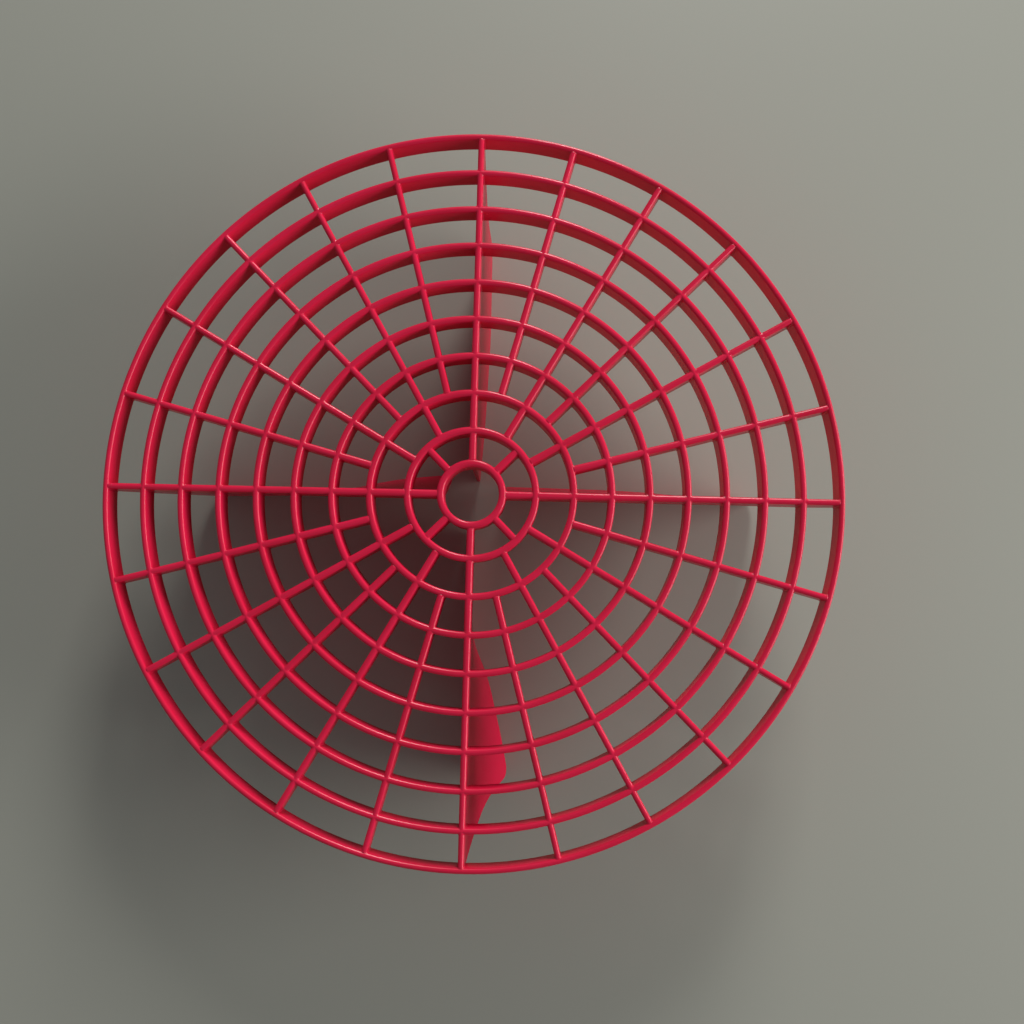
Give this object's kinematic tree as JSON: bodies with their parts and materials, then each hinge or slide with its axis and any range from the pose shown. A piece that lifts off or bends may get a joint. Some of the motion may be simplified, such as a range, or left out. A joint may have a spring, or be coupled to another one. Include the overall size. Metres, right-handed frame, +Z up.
{
  "type": "bucket grit guard",
  "caption": "Round open grille of concentric rings and radial spokes on thin upright vanes; it lies in the bottom of a wash bucket and keeps settled grit below it.",
  "frame": {"origin": "centre of the standing plane, under the middle of the grille", "axes": "+Z up towards the grille's top; the vanes lie along +X, +Y, -X and -Y"},
  "size_m": [0.235, 0.235, 0.05],
  "materials": {
    "red_plastic": "moulded gloss, crimson red"
  },
  "bodies": {
    "root": {"rim_ring": "red_plastic", "ring_2": "red_plastic", "ring_3": "red_plastic", "ring_4": "red_plastic", "ring_5": "red_plastic", "ring_6": "red_plastic", "ring_7": "red_plastic", "ring_8": "red_plastic", "ring_9": "red_plastic", "hub_ring": "red_plastic", "spoke_000": "red_plastic", "spoke_015": "red_plastic", "spoke_030": "red_plastic", "spoke_045": "red_plastic", "spoke_060": "red_plastic", "spoke_075": "red_plastic", "spoke_090": "red_plastic", "spoke_105": "red_plastic", "spoke_120": "red_plastic", "spoke_135": "red_plastic", "spoke_150": "red_plastic", "spoke_165": "red_plastic", "spoke_180": "red_plastic", "spoke_195": "red_plastic", "spoke_210": "red_plastic", "spoke_225": "red_plastic", "spoke_240": "red_plastic", "spoke_255": "red_plastic", "spoke_270": "red_plastic", "spoke_285": "red_plastic", "spoke_300": "red_plastic", "spoke_315": "red_plastic", "spoke_330": "red_plastic", "spoke_345": "red_plastic", "hub_web_045": "red_plastic", "hub_web_135": "red_plastic", "hub_web_225": "red_plastic", "hub_web_315": "red_plastic", "vane_right": "red_plastic", "vane_back": "red_plastic", "vane_left": "red_plastic", "vane_front": "red_plastic"}
  },
  "joints": []
}
